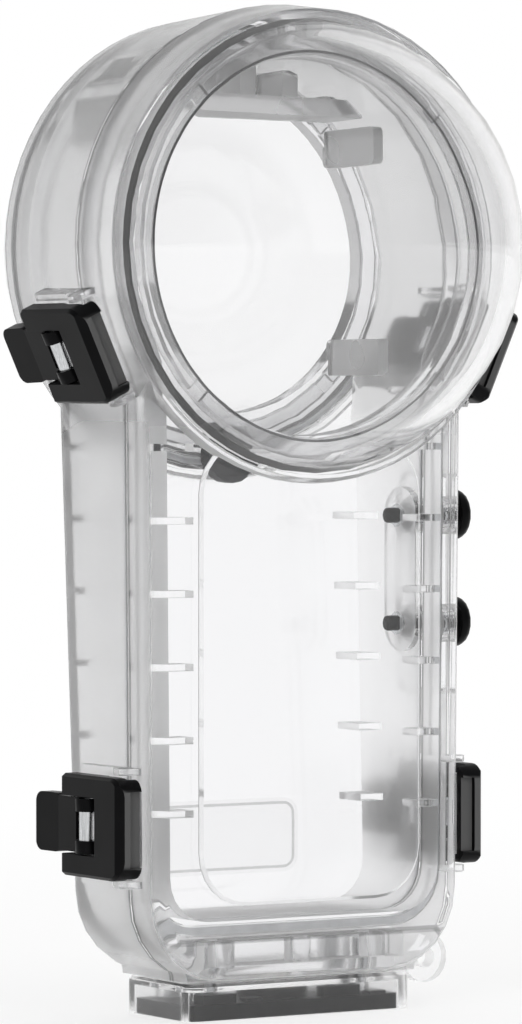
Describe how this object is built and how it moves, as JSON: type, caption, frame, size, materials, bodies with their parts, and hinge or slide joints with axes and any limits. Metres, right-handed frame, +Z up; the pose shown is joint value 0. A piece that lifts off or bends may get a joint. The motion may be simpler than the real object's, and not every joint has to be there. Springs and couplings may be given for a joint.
{
  "type": "underwater camera housing",
  "caption": "Clear waterproof case for a slim two-lens camera: domes over both lenses, draw latches at the sides, push buttons on one wall and a tripod foot.",
  "frame": {"origin": "middle of the outline on the surface the foot stands on", "axes": "+Z up, -Y towards the front dome, +X towards the wall with the buttons"},
  "size_m": [0.0946, 0.1044, 0.1811],
  "materials": {
    "clear_plastic": "clear polycarbonate, glossy",
    "black_plastic": "black moulded plastic, semi-gloss",
    "steel": "bright stainless steel",
    "brass": "turned brass",
    "pale_silicone": "soft grey silicone",
    "dark_rubber": "matte dark rubber"
  },
  "bodies": {
    "case": {"rear_shell": "clear_plastic", "front_shell": "clear_plastic", "front_dome": "clear_plastic", "rear_dome": "clear_plastic", "front_dome_ring": "clear_plastic", "rear_dome_ring": "clear_plastic", "foot": "clear_plastic", "main_gasket": "pale_silicone", "front_dome_seal": "pale_silicone", "rear_dome_seal": "pale_silicone", "camera_pad": "dark_rubber", "upper_button_seal": "dark_rubber", "lower_button_seal": "dark_rubber", "tripod_plate": "black_plastic", "tripod_insert": "brass", "foot_screw_1": "steel", "foot_screw_2": "steel", "foot_screw_3": "steel", "foot_screw_4": "steel", "upper_button_spring": "steel", "lower_button_spring": "steel", "lever_pin_upper_left": "steel", "lever_pin_upper_right": "steel", "lever_pin_lower_left": "steel", "lever_pin_lower_right": "steel"},
    "lever_upper_left_body": {"lever_upper_left": "black_plastic", "hook_pin_upper_left": "steel"},
    "hook_upper_left_body": {"hook_upper_left": "black_plastic"},
    "lever_upper_right_body": {"lever_upper_right": "black_plastic", "hook_pin_upper_right": "steel"},
    "hook_upper_right_body": {"hook_upper_right": "black_plastic"},
    "lever_lower_left_body": {"lever_lower_left": "black_plastic", "hook_pin_lower_left": "steel"},
    "hook_lower_left_body": {"hook_lower_left": "black_plastic"},
    "lever_lower_right_body": {"lever_lower_right": "black_plastic", "hook_pin_lower_right": "steel"},
    "hook_lower_right_body": {"hook_lower_right": "black_plastic"},
    "upper_button": {"upper_button_cap": "black_plastic", "upper_button_stem": "black_plastic", "upper_button_clip": "steel"},
    "lower_button": {"lower_button_cap": "black_plastic", "lower_button_stem": "black_plastic", "lower_button_clip": "steel"}
  },
  "joints": [
    {"name": "lever_upper_left_hinge", "type": "hinge", "parent": "case", "child": "lever_upper_left_body", "pos_m": [-0.04237, -0.0019, 0.1183], "axis": [-0.4163, 0, 0.9092], "range_deg": [0, 105]},
    {"name": "hook_upper_left_hinge", "type": "hinge", "parent": "lever_upper_left_body", "child": "hook_upper_left_body", "pos_m": [-0.0411, 0.0035, 0.11888], "axis": [-0.4163, 0, 0.9092], "range_deg": [-121, 0]},
    {"name": "lever_upper_right_hinge", "type": "hinge", "parent": "case", "child": "lever_upper_right_body", "pos_m": [0.04237, -0.0019, 0.1183], "axis": [-0.4163, 0, -0.9092], "range_deg": [0, 105]},
    {"name": "hook_upper_right_hinge", "type": "hinge", "parent": "lever_upper_right_body", "child": "hook_upper_right_body", "pos_m": [0.0411, 0.0035, 0.11888], "axis": [-0.4163, 0, -0.9092], "range_deg": [-121, 0]},
    {"name": "lever_lower_left_hinge", "type": "hinge", "parent": "case", "child": "lever_lower_left_body", "pos_m": [-0.03732, -0.0019, 0.0348], "axis": [0, 0, 1], "range_deg": [0, 105]},
    {"name": "hook_lower_left_hinge", "type": "hinge", "parent": "lever_lower_left_body", "child": "hook_lower_left_body", "pos_m": [-0.03592, 0.0035, 0.0348], "axis": [0, 0, 1], "range_deg": [-121, 0]},
    {"name": "lever_lower_right_hinge", "type": "hinge", "parent": "case", "child": "lever_lower_right_body", "pos_m": [0.03732, -0.0019, 0.0348], "axis": [0, 0, -1], "range_deg": [0, 105]},
    {"name": "hook_lower_right_hinge", "type": "hinge", "parent": "lever_lower_right_body", "child": "hook_lower_right_body", "pos_m": [0.03592, 0.0035, 0.0348], "axis": [0, 0, -1], "range_deg": [-121, 0]},
    {"name": "upper_button_push", "type": "slide", "parent": "case", "child": "upper_button", "axis": [-1, 0, 0], "range_m": [0, 0.002], "stiffness_N_per_m": 400, "springref_m": -0.0008, "deforming": ["upper_button_spring"]},
    {"name": "lower_button_push", "type": "slide", "parent": "case", "child": "lower_button", "axis": [-1, 0, 0], "range_m": [0, 0.002], "stiffness_N_per_m": 400, "springref_m": -0.0008, "deforming": ["lower_button_spring"]}
  ],
  "couplings": [
    {"joint": "hook_upper_left_hinge", "follows": "lever_upper_left_hinge", "ratio": -1.15},
    {"joint": "hook_upper_right_hinge", "follows": "lever_upper_right_hinge", "ratio": -1.15},
    {"joint": "hook_lower_left_hinge", "follows": "lever_lower_left_hinge", "ratio": -1.15},
    {"joint": "hook_lower_right_hinge", "follows": "lever_lower_right_hinge", "ratio": -1.15}
  ]
}
